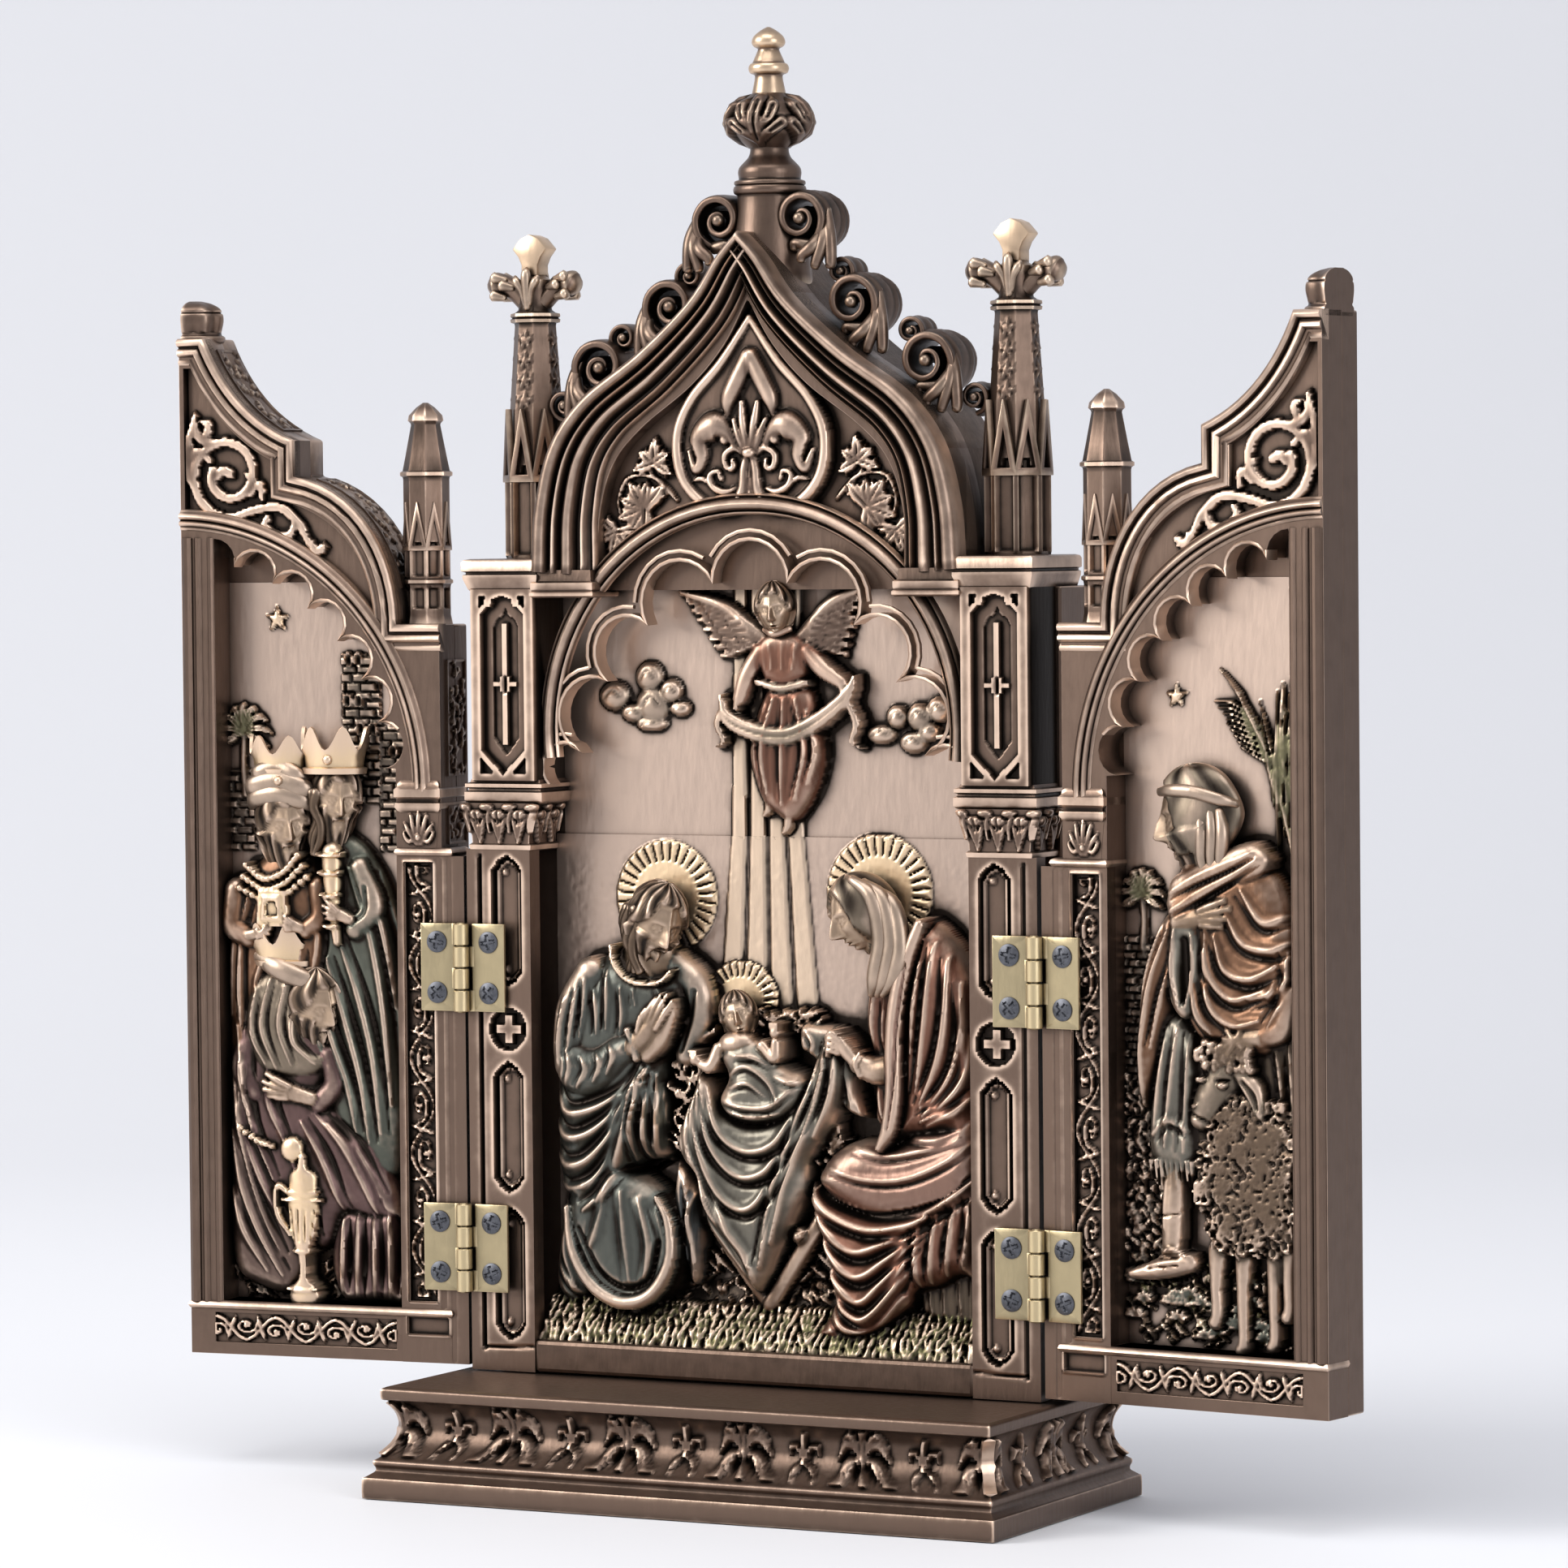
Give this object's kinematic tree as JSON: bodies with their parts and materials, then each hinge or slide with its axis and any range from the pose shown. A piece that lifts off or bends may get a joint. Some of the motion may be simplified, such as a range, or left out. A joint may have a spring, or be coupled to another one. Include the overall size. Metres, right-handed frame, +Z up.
{
  "type": "triptych altarpiece",
  "caption": "Standing Gothic triptych altarpiece with a nativity in high relief under an ogee gable and hinged carved wings that close over it.",
  "frame": {"origin": "middle of the base's underside", "axes": "+Z up, +Y towards the back, so the carved front faces -Y"},
  "size_m": [0.2613, 0.068, 0.295],
  "materials": {
    "bronze": "antiqued cold-cast bronze, satin, rubbed highlights over dark recesses, with thin tinted washes on the figures' robes",
    "hinge_brass": "antiqued brass sheet, satin, slightly dulled",
    "screw_steel": "blackened steel, semi-gloss"
  },
  "bodies": {
    "shrine": {"base_plinth": "bronze", "central_panel": "bronze", "left_lower_hinge_fixed_leaf": "hinge_brass", "left_lower_hinge_pin": "hinge_brass", "left_lower_fixed_screw_1": "screw_steel", "left_lower_fixed_screw_2": "screw_steel", "left_upper_hinge_fixed_leaf": "hinge_brass", "left_upper_hinge_pin": "hinge_brass", "left_upper_fixed_screw_1": "screw_steel", "left_upper_fixed_screw_2": "screw_steel", "right_lower_hinge_fixed_leaf": "hinge_brass", "right_lower_hinge_pin": "hinge_brass", "right_lower_fixed_screw_1": "screw_steel", "right_lower_fixed_screw_2": "screw_steel", "right_upper_hinge_fixed_leaf": "hinge_brass", "right_upper_hinge_pin": "hinge_brass", "right_upper_fixed_screw_1": "screw_steel", "right_upper_fixed_screw_2": "screw_steel"},
    "left_door": {"left_wing": "bronze", "left_lower_hinge_wing_leaf": "hinge_brass", "left_lower_wing_screw_1": "screw_steel", "left_lower_wing_screw_2": "screw_steel", "left_upper_hinge_wing_leaf": "hinge_brass", "left_upper_wing_screw_1": "screw_steel", "left_upper_wing_screw_2": "screw_steel"},
    "right_door": {"right_wing": "bronze", "right_lower_hinge_wing_leaf": "hinge_brass", "right_lower_wing_screw_1": "screw_steel", "right_lower_wing_screw_2": "screw_steel", "right_upper_hinge_wing_leaf": "hinge_brass", "right_upper_wing_screw_1": "screw_steel", "right_upper_wing_screw_2": "screw_steel"}
  },
  "joints": [
    {"name": "left_door_hinge", "type": "hinge", "parent": "shrine", "child": "left_door", "pos_m": [-0.0649, -0.002, 0.0653], "axis": [0, 0, 1], "range_deg": [-5, 174.5]},
    {"name": "right_door_hinge", "type": "hinge", "parent": "shrine", "child": "right_door", "pos_m": [0.0649, -0.002, 0.0653], "axis": [0, 0, -1], "range_deg": [-7, 172.5]}
  ]
}
